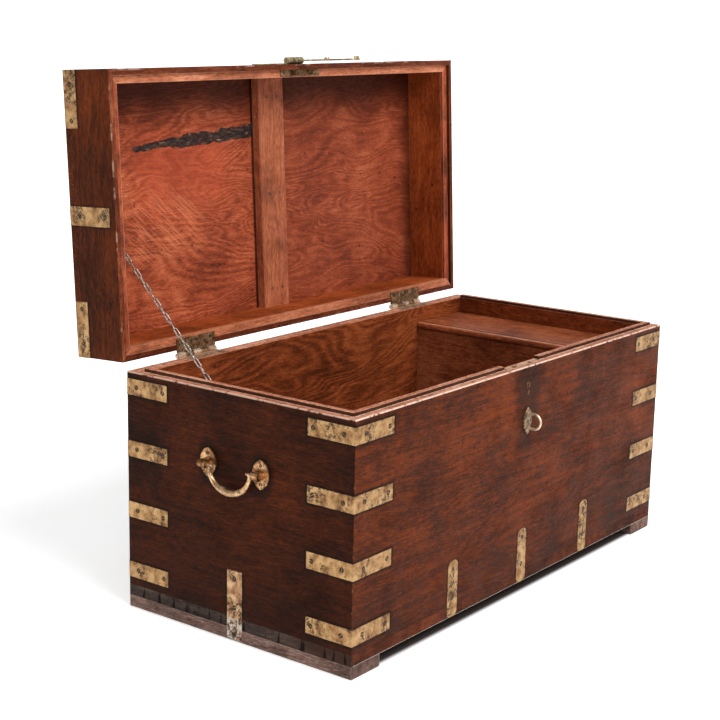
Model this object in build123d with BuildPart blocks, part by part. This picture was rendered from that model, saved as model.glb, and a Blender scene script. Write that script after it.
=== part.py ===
"""Brass-bound footlocker with a deep hinged lid, modelled with the lid standing open.

Frame: +X runs along the chest to its right-hand end, +Y to the back, +Z up, in millimetres.
The origin is on the ground, under the middle of the carcass. The lid and all that rides on it
are drawn shut, then swung about the hinge pins before they are written.
"""
import os

from build123d import *

# ------------------------------------------------------------------ driving sizes
case_length = 914
case_depth = 450
rim_z = 388  # flat rim of the carcass above the ground
wall = 24
skid_height = 20
skid_width = 68
floor_thickness = 19
floor_boards = 3

lip_outset = 14  # from the outer face to the raised inner lip
lip_width = 10
lip_height = 5

lid_gap = 0.5
lid_depth = 101
lid_wall = 22
lid_top_thickness = 12
lid_lip = 9  # outer lip left beyond the lining strips
lining_width = lid_wall - lid_lip
lining_recess = 6
back_lining_recess = 2
lining_top_z = rim_z + lid_gap + 12
lid_open_angle = 93

batten_width = 66
batten_thickness = 17

strap_width = 26
strap_thickness = 2
strap_proud = 0.4
strap_levels = (64, 164, 264, 364)
front_arm = 91
end_arm = 86
lid_strap_arm = 90
lid_strap_z = 475
base_strap_top = 113
base_strap_spacing = 202
base_strap_width = 27
end_strap_width = 30
side_strap_drop = 88

hinge_x = 291
hinge_length = 90
hinge_setback = 9.6  # pin behind the back face
hinge_rise = 1.6  # pin above the rim
knuckle_radius = 4.5
knuckle_count = 5
hinge_pin_radius = 2
pin_clearance = 0.06
leaf_thickness = 2

handle_z = 275
handle_post_spacing = 105
handle_standoff = 13
handle_plate_width = 32
handle_plate_height = 46
handle_plate_thickness = 2.5
barrel_radius = 6.5
barrel_length = 15
bail_pin_radius = 3.2
bail_half_width = 41
bail_drop = 36
bail_mid_radius = 5.6

staple_z = 297
staple_leg_spacing = 25
staple_wire_radius = 2.2
staple_reach = 28
staple_plate_width = 24
staple_plate_height = 46

hasp_axis_rise = 18  # above the lid's rim when shut
hasp_knuckle_radius = 6
hasp_barrel_length = 42
hasp_width = 26
hasp_thickness = 3
hasp_slot_width = 9
hasp_slot_height = 33
hasp_tail = 14.5  # strap left below the slot
hasp_knob_z = 333

lock_width = 84
lock_height = 52
lock_thickness = 13
lock_plate_length = 106
lock_plate_screw_x = 48
lock_plate_width = 16
lock_shell = 1.5
lock_y = -210.5
link_plate_length = 104
link_plate_width = 11
link_plate_screw_x = 45
loop_x = 23
keyhole_z = 357

till_width = 147
till_lid_thickness = 12
till_lid_top = 359
till_pivot_setback = 27
till_depth = 150
till_nosing = 6  # lid's overhang past the till's front board
till_board = 10
till_pivot_radius = 4

chain_x = -426
chain_wire_radius = 1.1
chain_target_pitch = 15
link_inner_width = 3.8
link_slack = 0.3

# ------------------------------------------------------------------ worked-out places
half_length = case_length / 2
half_depth = case_depth / 2
floor_top = skid_height + floor_thickness
lid_rim_z = rim_z + lid_gap
lid_top_z = lid_rim_z + lid_depth
lid_board_z = lid_top_z - lid_top_thickness
inner_x = half_length - wall
inner_y = half_depth - wall
lid_inner_x = half_length - lid_wall
lid_inner_y = half_depth - lid_wall
hinge_y = half_depth + hinge_setback
hinge_z = rim_z + hinge_rise
hasp_y = -half_depth - hasp_knuckle_radius - 0.2
hasp_z = lid_rim_z + hasp_axis_rise
lid_axis = Axis((0, hinge_y, hinge_z), (1, 0, 0))

os.makedirs("parts", exist_ok=True)


# ------------------------------------------------------------------ shared shapes
def mitred_plan(side, outset, width):
    """Corner points of one mitred side of a frame that lies `outset` inside the case's faces."""
    x, y = half_length - outset, half_depth - outset
    if side in ("front", "back"):
        s = -1 if side == "front" else 1
        return [(-x, s * y), (x, s * y), (x - width, s * (y - width)), (-x + width, s * (y - width))]
    s = -1 if side == "left" else 1
    return [(s * x, -y), (s * x, y), (s * (x - width), y - width), (s * (x - width), -y + width)]


def corner_plan(sx, sy, arm_x, arm_y):
    """L-shaped plan of a strap let in around one vertical corner of the case."""
    x, y = half_length + strap_proud, half_depth + strap_proud
    t = strap_thickness
    points = [(x, y), (x - arm_x, y), (x - arm_x, y - t), (x - t, y - t), (x - t, y - arm_y), (x, y - arm_y)]
    return [(sx * px, sy * py) for px, py in points]


def front_face(x, z, out=0.0, sy=-1):
    """Plane on the front (or, with sy = 1, the back) face, looking outward."""
    return Plane(origin=(x, sy * (half_depth + out), z), x_dir=(-sy, 0, 0), z_dir=(0, sy, 0))


def end_face(sx, y, z, out=0.0):
    """Plane on the left (sx = -1) or right (sx = 1) end, looking outward."""
    return Plane(origin=(sx * (half_length + out), y, z), x_dir=(0, sx, 0), z_dir=(sx, 0, 0))


def slotted_screw(head_radius, shank_radius, length):
    """Countersunk wood screw, its head's flat face at z = 0 and its shank down -Z."""
    cone = head_radius - shank_radius
    with BuildPart() as screw:
        with BuildSketch(Plane.XZ):
            Polygon((0, 0), (head_radius, 0), (shank_radius, -cone), (shank_radius, -length),
                    (0, -length), align=None)
        revolve(axis=Axis.Z)
        with BuildSketch(Plane.XY):
            Rectangle(3 * head_radius, 0.9)
        extrude(amount=-0.8, mode=Mode.SUBTRACT)
    return screw.part


def screw_group(shape, planes):
    """The same screw driven at every plane, each turned a little more than the last."""
    with BuildPart() as group:
        for turn, plane in enumerate(planes):
            with Locations(plane.location * Location((0, 0, 0), (0, 0, 47 * turn))):
                add(shape, clean=False)
    return group


def pointed_oval(width, height):
    """Sketch of two arcs that meet in points above and below."""
    with BuildSketch() as oval:
        with BuildLine():
            right = ThreePointArc((0, height / 2), (width / 2, 0), (0, -height / 2))
            mirror(right, about=Plane.YZ)
        make_face()
    return oval.sketch


strap_screw = slotted_screw(4, 1.8, 14)
small_screw = slotted_screw(3, 1.4, 10)

# ------------------------------------------------------------------ screws of the straps
arm_screws = (20, 76)  # places along a strap's arm, from the corner
carcass_screw_planes = []
for level in strap_levels:
    for sx in (-1, 1):
        for sy in (-1, 1):
            for reach in arm_screws:
                along, across = sx * (half_length - reach - 4), sy * (half_depth - reach)
                carcass_screw_planes.append(front_face(along, level, strap_proud, sy))
                carcass_screw_planes.append(end_face(sx, across, level, strap_proud))
for step in (-1, 0, 1):
    for z in (52, 98):
        for sy in (-1, 1):
            carcass_screw_planes.append(front_face(step * base_strap_spacing, z, strap_proud, sy))
for sx in (-1, 1):
    for z in (10, 54, 100):
        carcass_screw_planes.append(end_face(sx, 0, z, strap_proud))
carcass_strap_screws = screw_group(strap_screw, carcass_screw_planes)

lid_screw_planes = []
for sx in (-1, 1):
    for sy in (-1, 1):
        for reach in (22, 78):
            along, across = sx * (half_length - reach), sy * (half_depth - reach)
            lid_screw_planes.append(front_face(along, lid_strap_z, strap_proud, sy))
            lid_screw_planes.append(end_face(sx, across, lid_strap_z, strap_proud))
    for drop in (22, 78):
        lid_screw_planes.append(end_face(sx, 0, lid_top_z - drop, strap_proud))
    top_place = (sx * (half_length - 72), 0, lid_top_z + strap_proud)
    lid_screw_planes.append(Plane(origin=top_place, z_dir=(0, 0, 1)))
lid_strap_screws = screw_group(strap_screw, lid_screw_planes)

# ------------------------------------------------------------------ screws of the other hardware
carcass_leaf_edge = half_depth - 22
lid_leaf_edge = half_depth - 18
link_plate_z = lid_rim_z + lining_recess - leaf_thickness
leaf_low = hasp_z + hasp_knuckle_radius + 0.6
leaf_high = lid_top_z - 4
lock_low = rim_z - leaf_thickness - lock_height

hinge_screw_places = [sx * hinge_x + dx for sx in (-1, 1) for dx in (-33, 0, 33)]
carcass_hardware_screws = screw_group(small_screw, [
    Plane(origin=(x, half_depth - 12, rim_z), z_dir=(0, 0, 1)) for x in hinge_screw_places] + [
    end_face(sx, sy * handle_post_spacing / 2, handle_z + dz, handle_plate_thickness)
    for sx in (-1, 1) for sy in (-1, 1) for dz in (-14, 14)] + [
    Plane(origin=(x, lock_y, rim_z), z_dir=(0, 0, 1))
    for x in (-lock_plate_screw_x, lock_plate_screw_x)])

lid_hardware_screws = screw_group(small_screw, [
    Plane(origin=(x, half_depth - 12, lid_rim_z), z_dir=(0, 0, -1)) for x in hinge_screw_places] + [
    Plane(origin=(x, lock_y, link_plate_z), z_dir=(0, 0, -1))
    for x in (-link_plate_screw_x, link_plate_screw_x)] + [
    front_face(x, z, 2) for x in (-13, 13) for z in (leaf_low + 9, leaf_high - 9)] + [
    Plane(origin=(x, y, lid_board_z - batten_thickness), z_dir=(0, 0, -1))
    for x in (-14, 14) for y in (-170, 0, 170)])

# ------------------------------------------------------------------ brass straps
corner_straps = {}
for corner, sx, sy in (
    ("front_left", -1, -1), ("front_right", 1, -1), ("back_left", -1, 1), ("back_right", 1, 1),
):
    with BuildPart() as straps:
        for level in strap_levels:
            with BuildSketch(Plane.XY.offset(level - strap_width / 2)):
                Polygon(*corner_plan(sx, sy, front_arm, end_arm), align=None)
            extrude(amount=strap_width)
        add(carcass_strap_screws.part, mode=Mode.SUBTRACT)
    corner_straps[f"corner_straps_{corner}"] = straps

long_base_straps = {}
for name, sy in (("front_base_straps", -1), ("back_base_straps", 1)):
    height = base_strap_top - skid_height
    with BuildPart() as straps:
        for step in (-1, 0, 1):
            x = step * base_strap_spacing
            with BuildSketch(front_face(x, skid_height + height / 2, strap_proud, sy)) as outline:
                Rectangle(base_strap_width, height)
                fillet(outline.vertices().group_by(Axis.Z)[-1], base_strap_width * 0.38)
            extrude(amount=-strap_thickness)
        add(carcass_strap_screws.part, mode=Mode.SUBTRACT)
    long_base_straps[name] = straps

end_base_straps = {}
for name, sx in (("left_base_strap", -1), ("right_base_strap", 1)):
    foot = 2
    with BuildPart() as strap:
        with BuildSketch(end_face(sx, 0, (base_strap_top + foot) / 2, strap_proud)):
            Rectangle(end_strap_width, base_strap_top - foot)
        extrude(amount=-strap_thickness)
        add(carcass_strap_screws.part, mode=Mode.SUBTRACT)
    end_base_straps[name] = strap

with BuildPart() as lid_corner_straps:
    for sx in (-1, 1):
        for sy in (-1, 1):
            with BuildSketch(Plane.XY.offset(lid_strap_z - strap_width / 2)):
                Polygon(*corner_plan(sx, sy, lid_strap_arm, lid_strap_arm), align=None)
            extrude(amount=strap_width)
    add(lid_strap_screws.part, mode=Mode.SUBTRACT)

with BuildPart() as lid_side_straps:
    for sx in (-1, 1):
        x, z = half_length + strap_proud, lid_top_z + strap_proud
        t = strap_thickness
        outline = [(x, z), (x - side_strap_drop, z), (x - side_strap_drop, z - t), (x - t, z - t),
                   (x - t, lid_top_z - side_strap_drop), (x, lid_top_z - side_strap_drop)]
        with BuildSketch(Plane.XZ.offset(-end_strap_width / 2)):
            Polygon(*[(sx * px, pz) for px, pz in outline], align=None)
        extrude(amount=end_strap_width)
    add(lid_strap_screws.part, mode=Mode.SUBTRACT)

# ------------------------------------------------------------------ butt hinges
def hinge_leaf(x, low_z, inner_edge, own_knuckles):
    """One leaf, shut: its plate, its knuckles and the tabs between them, bored for the pin."""
    step = hinge_length / knuckle_count
    plate_edge = hinge_y - knuckle_radius - 0.6
    with BuildPart() as leaf:
        with BuildSketch(Plane.XY.offset(low_z)):
            with Locations((x, (inner_edge + plate_edge) / 2)):
                Rectangle(hinge_length, plate_edge - inner_edge)
        extrude(amount=leaf_thickness)
        for number in own_knuckles:
            centre = x - hinge_length / 2 + (number + 0.5) * step
            length = step - 0.5
            with BuildSketch(Plane.XY.offset(low_z)):
                with Locations((centre, (plate_edge - 1 + hinge_y) / 2)):
                    Rectangle(length, hinge_y - plate_edge + 1)
            extrude(amount=leaf_thickness)
            with BuildSketch(Plane(origin=(centre, hinge_y, hinge_z), z_dir=(1, 0, 0))):
                Circle(knuckle_radius)
            extrude(amount=length / 2, both=True)
        with BuildSketch(Plane(origin=(x, hinge_y, hinge_z), z_dir=(1, 0, 0))):
            Circle(hinge_pin_radius + pin_clearance)
        extrude(amount=hinge_length / 2, both=True, mode=Mode.SUBTRACT)
    return leaf.part


with BuildPart() as carcass_hinge_leaves:
    for x in (-hinge_x, hinge_x):
        add(hinge_leaf(x, rim_z - leaf_thickness, carcass_leaf_edge, (0, 2, 4)))
    add(carcass_hardware_screws.part, mode=Mode.SUBTRACT)
with BuildPart() as lid_hinge_leaves:
    for x in (-hinge_x, hinge_x):
        add(hinge_leaf(x, lid_rim_z, lid_leaf_edge, (1, 3)))
    add(lid_hardware_screws.part, mode=Mode.SUBTRACT)
with BuildPart() as hinge_pins:
    for x in (-hinge_x, hinge_x):
        with BuildSketch(Plane(origin=(x, hinge_y, hinge_z), z_dir=(1, 0, 0))):
            Circle(hinge_pin_radius)
        extrude(amount=hinge_length / 2, both=True)
        for sx in (-1, 1):
            end = x + sx * hinge_length / 2
            with BuildSketch(Plane(origin=(end, hinge_y, hinge_z), z_dir=(sx, 0, 0))):
                Circle(hinge_pin_radius + 1)
            extrude(amount=1)

# ------------------------------------------------------------------ lock in the front board
with BuildPart() as lock_mortise:
    with BuildSketch(Plane.XY.offset(lock_low)):
        with Locations((0, lock_y)):
            Rectangle(lock_width, lock_thickness)
    extrude(amount=lock_height)
    with BuildSketch(Plane.XY.offset(rim_z - leaf_thickness)):
        with Locations((0, lock_y)):
            Rectangle(lock_plate_length, lock_plate_width)
    extrude(amount=leaf_thickness)


def keyhole_cutter(depth):
    """Round-headed keyhole from just before the front face to `depth` behind it."""
    with BuildPart() as cutter:
        with BuildSketch(front_face(0, keyhole_z, 1)):
            Circle(3.2)
            with Locations((0, -7.5)):
                SlotOverall(17, 3, rotation=90)
        extrude(amount=-depth - 1)
    return cutter.part


def loop_slot_cutter(high_z, depth):
    """The two openings that the lid's loops drop through."""
    with BuildPart() as cutter:
        with BuildSketch(Plane.XY.offset(high_z)):
            with Locations((-loop_x, lock_y), (loop_x, lock_y)):
                Rectangle(9, 10.4)
        extrude(amount=-depth)
    return cutter.part


bolt_bar_z = 368
with BuildPart() as lock_case:
    with BuildSketch(Plane.XY.offset(lock_low)):
        with Locations((0, lock_y)):
            Rectangle(lock_width, lock_thickness)
    extrude(amount=lock_height)
    with BuildSketch(Plane.XY.offset(lock_low + lock_shell)):
        with Locations((0, lock_y)):
            Rectangle(lock_width - 2 * lock_shell, lock_thickness - 2 * lock_shell)
    extrude(amount=lock_height - 2 * lock_shell, mode=Mode.SUBTRACT)
    add(loop_slot_cutter(rim_z - leaf_thickness, lock_shell + 1), mode=Mode.SUBTRACT)
    add(keyhole_cutter(half_depth + lock_y), mode=Mode.SUBTRACT)
    with BuildSketch(Plane.XY.offset(bolt_bar_z - 4 - 0.4)):
        with Locations((-30, lock_y), (14, lock_y)):
            Rectangle(6, lock_thickness - lock_shell)
    extrude(amount=-3)
    key_post_y = lock_y + lock_thickness / 2 - lock_shell
    with BuildSketch(Plane(origin=(0, key_post_y, keyhole_z), z_dir=(0, -1, 0))):
        Circle(1.2)
    extrude(amount=lock_thickness - 2 * lock_shell - 1)

with BuildPart() as lock_rim_plate:
    with BuildSketch(Plane.XY.offset(rim_z - leaf_thickness)):
        with Locations((0, lock_y)):
            Rectangle(lock_plate_length, lock_plate_width)
    extrude(amount=leaf_thickness)
    add(loop_slot_cutter(rim_z, leaf_thickness), mode=Mode.SUBTRACT)
    add(carcass_hardware_screws.part, mode=Mode.SUBTRACT)

with BuildPart() as lock_bolt:
    bar_depth = lock_thickness - 2 * lock_shell - 0.7
    with BuildSketch(Plane.XY.offset(bolt_bar_z - 4)):
        with Locations((-14.5, lock_y)):
            Rectangle(51, bar_depth)
    extrude(amount=8)
    for arm_x in (-37.5, 8.5):
        with BuildSketch(Plane.XY.offset(bolt_bar_z + 3)):
            with Locations((arm_x, lock_y)):
                Rectangle(5, 3)
        extrude(amount=12.5)
        with BuildSketch(Plane.XY.offset(bolt_bar_z + 10.5)):
            with Locations((arm_x + 7, lock_y)):
                Rectangle(9.5, 3)
        extrude(amount=5)

with BuildPart() as keyhole_escutcheon:
    with BuildSketch(front_face(0, keyhole_z, 0.2)):
        Circle(4.6)
        with Locations((0, -7.5)):
            SlotOverall(19.8, 5.8, rotation=90)
    extrude(amount=-2.2)
    add(keyhole_cutter(4), mode=Mode.SUBTRACT)

# ------------------------------------------------------------------ staple on the front board
with BuildPart() as staple_plate:
    with BuildSketch(front_face(0, staple_z)):
        add(pointed_oval(staple_plate_width, staple_plate_height))
    extrude(amount=2.5)
    chamfer(staple_plate.faces().sort_by(Axis.Y)[0].edges(), 0.8)
    with BuildSketch(front_face(0, staple_z)):
        with GridLocations(0, staple_leg_spacing, 1, 2):
            Circle(staple_wire_radius)
    extrude(amount=4, mode=Mode.SUBTRACT)

with BuildPart() as staple_loop:
    bend = staple_leg_spacing / 2
    root = -half_depth + 16
    straight = -half_depth - staple_reach + staple_wire_radius + bend
    with BuildLine() as route:
        top_leg = Line((0, root, staple_z + bend), (0, straight, staple_z + bend))
        nose = ThreePointArc(top_leg @ 1, (0, straight - bend, staple_z), (0, straight, staple_z - bend))
        Line(nose @ 1, (0, root, staple_z - bend))
    with BuildSketch(Plane(origin=top_leg @ 0, z_dir=(0, -1, 0))):
        Circle(staple_wire_radius)
    sweep(path=route.wire())


# ------------------------------------------------------------------ end handles
def handle_plates(sx):
    """The two pointed plates of one end's handle, each with a bored barrel for the bail."""
    with BuildPart() as plates:
        for sy in (-1, 1):
            y = sy * handle_post_spacing / 2
            with BuildSketch(end_face(sx, y, handle_z)):
                add(pointed_oval(handle_plate_width, handle_plate_height))
            extrude(amount=handle_plate_thickness)
            with BuildSketch(end_face(sx, y, handle_z)):
                Rectangle(barrel_length, barrel_radius * 1.5)
            extrude(amount=handle_standoff)
            pivot = Plane(origin=(sx * (half_length + handle_standoff), y, handle_z), z_dir=(0, 1, 0))
            with BuildSketch(pivot):
                Circle(barrel_radius)
            extrude(amount=barrel_length / 2, both=True)
            with BuildSketch(pivot):
                Circle(bail_pin_radius + pin_clearance)
            extrude(amount=barrel_length, both=True, mode=Mode.SUBTRACT)
        add(carcass_hardware_screws.part, mode=Mode.SUBTRACT)
    return plates


def handle_bail(sx):
    """Hanging bail: a swelling half-ellipse between two pins that turn in the barrels."""
    x = sx * (half_length + handle_standoff)
    with BuildPart() as bail:
        with BuildLine(Plane(origin=(x, 0, handle_z), x_dir=(0, 1, 0), z_dir=(1, 0, 0))) as route:
            EllipticalCenterArc((0, 0), bail_half_width, bail_drop, start_angle=180, arc_size=180)
        for at, radius in ((0, 2.6), (0.25, 4.6), (0.5, bail_mid_radius), (0.75, 4.6), (1, 2.6)):
            with BuildSketch(Plane(origin=route.line @ at, z_dir=route.line % at)):
                Circle(radius)
        sweep(path=route.wire(), multisection=True)
        for sy in (-1, 1):
            start = sy * (bail_half_width - 8)
            with BuildSketch(Plane(origin=(x, start, handle_z), z_dir=(0, sy, 0))):
                Circle(1.4)
            extrude(amount=8, taper=-9)
            with BuildSketch(Plane(origin=(x, sy * (bail_half_width - 2.6), handle_z), z_dir=(0, sy, 0))):
                Circle(bail_pin_radius)
            extrude(amount=handle_post_spacing / 2 + barrel_length / 2 - bail_half_width + 2)
    return bail


left_handle_plates, right_handle_plates = handle_plates(-1), handle_plates(1)
left_handle_bail, right_handle_bail = handle_bail(-1), handle_bail(1)


# ------------------------------------------------------------------ stay chain and its eyes
def eye(side_x, y, z, along):
    """Screw eye in a left-hand wall's inner face, its ring in the plane of X and the chain."""
    centre = Vector(chain_x, y, z)
    ring_radius = 4.2
    with BuildPart() as screw_eye:
        ring = Plane(origin=centre, x_dir=(1, 0, 0), z_dir=Vector(1, 0, 0).cross(along))
        start = Plane(origin=ring.from_local_coords((ring_radius, 0, 0)), z_dir=ring.y_dir)
        with BuildLine(ring) as loop:
            CenterArc((0, 0), ring_radius, 0, 360)
        with BuildSketch(start):
            Circle(chain_wire_radius)
        sweep(path=loop.wire())
        shank_start = chain_x - ring_radius
        with BuildSketch(Plane(origin=(shank_start, y, z), z_dir=(-1, 0, 0))):
            Circle(chain_wire_radius * 1.1)
        extrude(amount=shank_start - side_x + 12)
    return screw_eye


lid_eye_shut = Vector(chain_x, half_depth - 163, lid_rim_z + 13.5)
lid_eye_open = Vertex(*lid_eye_shut).rotate(lid_axis, -lid_open_angle).center()
carcass_eye = Vector(chain_x, 58, 369)
chain_run = lid_eye_open - carcass_eye
chain_dir = chain_run.normalized()
ring_reach = 4.2 - chain_wire_radius
chain_length = chain_run.length - 2 * ring_reach + 2 * chain_wire_radius
link_count = 2 * round(chain_length / chain_target_pitch / 2) + 1
link_pitch = chain_length / link_count

shut_turn = Vertex(*(lid_eye_open - chain_dir)).rotate(lid_axis, lid_open_angle).center()
lid_along = (lid_eye_shut - shut_turn).normalized()
carcass_chain_eye = eye(-inner_x, carcass_eye.Y, carcass_eye.Z, chain_dir)
lid_chain_eye = eye(-lid_inner_x, lid_eye_shut.Y, lid_eye_shut.Z, lid_along)

with BuildPart() as stay_chain:
    bend = link_inner_width / 2 + chain_wire_radius
    reach = (link_pitch + link_slack) / 2 + chain_wire_radius - bend
    first = carcass_eye + chain_dir * (ring_reach - chain_wire_radius)
    across = (Vector(1, 0, 0), Vector(1, 0, 0).cross(chain_dir))
    for number in range(link_count):
        middle = first + chain_dir * (number + 0.5) * link_pitch
        flat = Plane(origin=middle, x_dir=chain_dir, z_dir=across[number % 2])
        with BuildLine(flat) as route:
            Line((-reach, bend), (reach, bend))
            CenterArc((reach, 0), bend, 90, -180)
            Line((reach, -bend), (-reach, -bend))
            CenterArc((-reach, 0), bend, 270, -180)
        with BuildSketch(Plane(origin=flat.from_local_coords((-reach, bend, 0)), z_dir=chain_dir)):
            Circle(chain_wire_radius)
        sweep(path=route.wire(), clean=False)

# ------------------------------------------------------------------ carcass of boards
floor_edges = [-half_depth + case_depth * i / floor_boards for i in range(floor_boards + 1)]
carcass_screws = [carcass_strap_screws.part, carcass_hardware_screws.part]
all_straps = (*corner_straps.values(), *long_base_straps.values(), *end_base_straps.values())
bands = [straps.part for straps in all_straps]


def carcass_board(side):
    """One mitred wall of the carcass, cut for all that is let into it."""
    with BuildPart() as board:
        with BuildSketch(Plane.XY.offset(floor_top)):
            Polygon(*mitred_plan(side, 0, wall), align=None)
        extrude(amount=rim_z - floor_top)
        add(bands + carcass_screws, mode=Mode.SUBTRACT)
        if side in ("front", "back"):
            sy = -1 if side == "front" else 1
            pivot_x = inner_x - till_pivot_setback
            with BuildSketch(Plane(origin=(pivot_x, sy * inner_y, till_lid_top - 6), z_dir=(0, sy, 0))):
                Circle(till_pivot_radius + pin_clearance)
            extrude(amount=10, mode=Mode.SUBTRACT)
        if side == "front":
            add([lock_mortise.part, staple_loop.part, keyhole_escutcheon.part], mode=Mode.SUBTRACT)
            add(keyhole_cutter(half_depth + lock_y), mode=Mode.SUBTRACT)
        if side == "back":
            add(carcass_hinge_leaves.part, mode=Mode.SUBTRACT)
        if side in ("left", "right"):
            add(carcass_chain_eye.part, mode=Mode.SUBTRACT)
    return board


front_board, back_board = carcass_board("front"), carcass_board("back")
left_end_board, right_end_board = carcass_board("left"), carcass_board("right")

bottom_boards = {}
for number, name in enumerate(("bottom_board_front", "bottom_board_middle", "bottom_board_back")):
    low, high = floor_edges[number], floor_edges[number + 1]
    with BuildPart() as board:
        with BuildSketch(Plane.XY.offset(skid_height)):
            with Locations((0, (low + high) / 2)):
                Rectangle(case_length, high - low)
        extrude(amount=floor_thickness)
        add(bands + [carcass_strap_screws.part], mode=Mode.SUBTRACT)
    bottom_boards[name] = board

skids = {}
for name, sx in (("left_skid", -1), ("right_skid", 1)):
    with BuildPart() as skid:
        with BuildSketch():
            with Locations((sx * (half_length - skid_width / 2), 0)):
                Rectangle(skid_width, case_depth)
        extrude(amount=skid_height)
        chamfer(skid.edges().filter_by(Axis.Y).group_by(Axis.Z)[0], 1.5)
        add([end_base_straps["left_base_strap"].part, end_base_straps["right_base_strap"].part,
             carcass_strap_screws.part], mode=Mode.SUBTRACT)
    skids[name] = skid

with BuildPart() as rim_lip_front:
    with BuildSketch(Plane.XY.offset(rim_z)):
        Polygon(*mitred_plan("front", lip_outset, lip_width), align=None)
        with Locations((0, lock_y)):
            Rectangle(lock_plate_length, 4 * lip_width, mode=Mode.SUBTRACT)
    extrude(amount=lip_height)

rim_lips = {}
for name, sx in (("rim_lip_left", -1), ("rim_lip_right", 1)):
    outer_x, outer_y = half_length - lip_outset, half_depth - lip_outset
    with BuildPart() as lip:
        with BuildSketch(Plane.XY.offset(rim_z)):
            Polygon((sx * outer_x, -outer_y), (sx * outer_x, inner_y), (sx * inner_x, inner_y),
                    (sx * inner_x, -inner_y), align=None)
        extrude(amount=lip_height)
    rim_lips[name] = lip

# ------------------------------------------------------------------ till at the right-hand end
till_x = inner_x - till_width
till_low = till_lid_top - till_depth
with BuildPart() as till_front_board:
    rest_z = till_lid_top - till_lid_thickness - 0.3
    with BuildSketch(Plane.XY.offset(till_low)):
        with Locations((till_x + till_nosing + till_board / 2, 0)):
            Rectangle(till_board, 2 * inner_y)
    extrude(amount=rest_z - till_low)

with BuildPart() as till_bottom_board:
    with BuildSketch(Plane.XY.offset(till_low)):
        with Locations(((till_x + till_nosing + till_board + inner_x) / 2, 0)):
            Rectangle(inner_x - till_x - till_nosing - till_board, 2 * inner_y)
    extrude(amount=till_board)

till_pivot = Vector(inner_x - till_pivot_setback, 0, till_lid_top - till_lid_thickness / 2)
with BuildPart() as till_pivots:
    for sy in (-1, 1):
        root = sy * (inner_y - 1 - 12)
        with BuildSketch(Plane(origin=(till_pivot.X, root, till_pivot.Z), z_dir=(0, sy, 0))):
            Circle(till_pivot_radius)
        extrude(amount=12 + 1 + 9)

with BuildPart() as till_lid:
    with BuildSketch(Plane.XY.offset(till_lid_top - till_lid_thickness)):
        with Locations(((till_x + inner_x - 1.6) / 2, 0)):
            Rectangle(till_width - 1.6, 2 * (inner_y - 1))
    extrude(amount=till_lid_thickness)
    nose = till_lid.faces().sort_by(Axis.X)[0].edges().filter_by(Axis.Y)
    fillet(nose, till_lid_thickness / 2 - 0.5)
    back = till_lid.faces().sort_by(Axis.X)[-1].edges().filter_by(Axis.Y)
    fillet(back, 3)
    with BuildSketch(Plane.XY.offset(till_lid_top)):
        with Locations((till_x + 12, 0)):
            Rectangle(1.2, 2 * inner_y)
    extrude(amount=-1, mode=Mode.SUBTRACT)
    add(till_pivots.part, mode=Mode.SUBTRACT)

# ------------------------------------------------------------------ link plate and hasp on the lid
with BuildPart() as link_plate:
    with BuildSketch(Plane.XY.offset(link_plate_z)):
        with Locations((0, lock_y)):
            Rectangle(link_plate_length, link_plate_width)
    extrude(amount=leaf_thickness)
    for x in (-loop_x, loop_x):
        with BuildSketch(Plane(origin=(x, lock_y, 0), x_dir=(0, 1, 0), z_dir=(1, 0, 0))):
            with Locations((0, (375 + link_plate_z) / 2)):
                Rectangle(8, link_plate_z - 375)
            with Locations((0, 381)):
                Rectangle(4.8, 9, mode=Mode.SUBTRACT)
        extrude(amount=2, both=True)
    add(lid_hardware_screws.part, mode=Mode.SUBTRACT)

with BuildPart() as hasp_leaf:
    step = hasp_barrel_length / 3
    with BuildSketch(front_face(0, (leaf_low + leaf_high) / 2)):
        Rectangle(hasp_barrel_length, leaf_high - leaf_low)
    extrude(amount=2)
    for sx in (-1, 1):
        with BuildSketch(front_face(sx * step, (hasp_z + leaf_low + 1) / 2)):
            Rectangle(step - 0.6, leaf_low + 1 - hasp_z)
        extrude(amount=2)
        with BuildSketch(Plane(origin=(sx * step, hasp_y, hasp_z), z_dir=(1, 0, 0))):
            Circle(hasp_knuckle_radius)
        extrude(amount=(step - 0.6) / 2, both=True)
    with BuildSketch(Plane(origin=(0, hasp_y, hasp_z), z_dir=(1, 0, 0))):
        Circle(hinge_pin_radius + pin_clearance)
    extrude(amount=hasp_barrel_length, both=True, mode=Mode.SUBTRACT)
    add(lid_hardware_screws.part, mode=Mode.SUBTRACT)

with BuildPart() as hasp_pin:
    with BuildSketch(Plane(origin=(0, hasp_y, hasp_z), z_dir=(1, 0, 0))):
        Circle(hinge_pin_radius)
    extrude(amount=hasp_barrel_length / 2, both=True)

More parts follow.
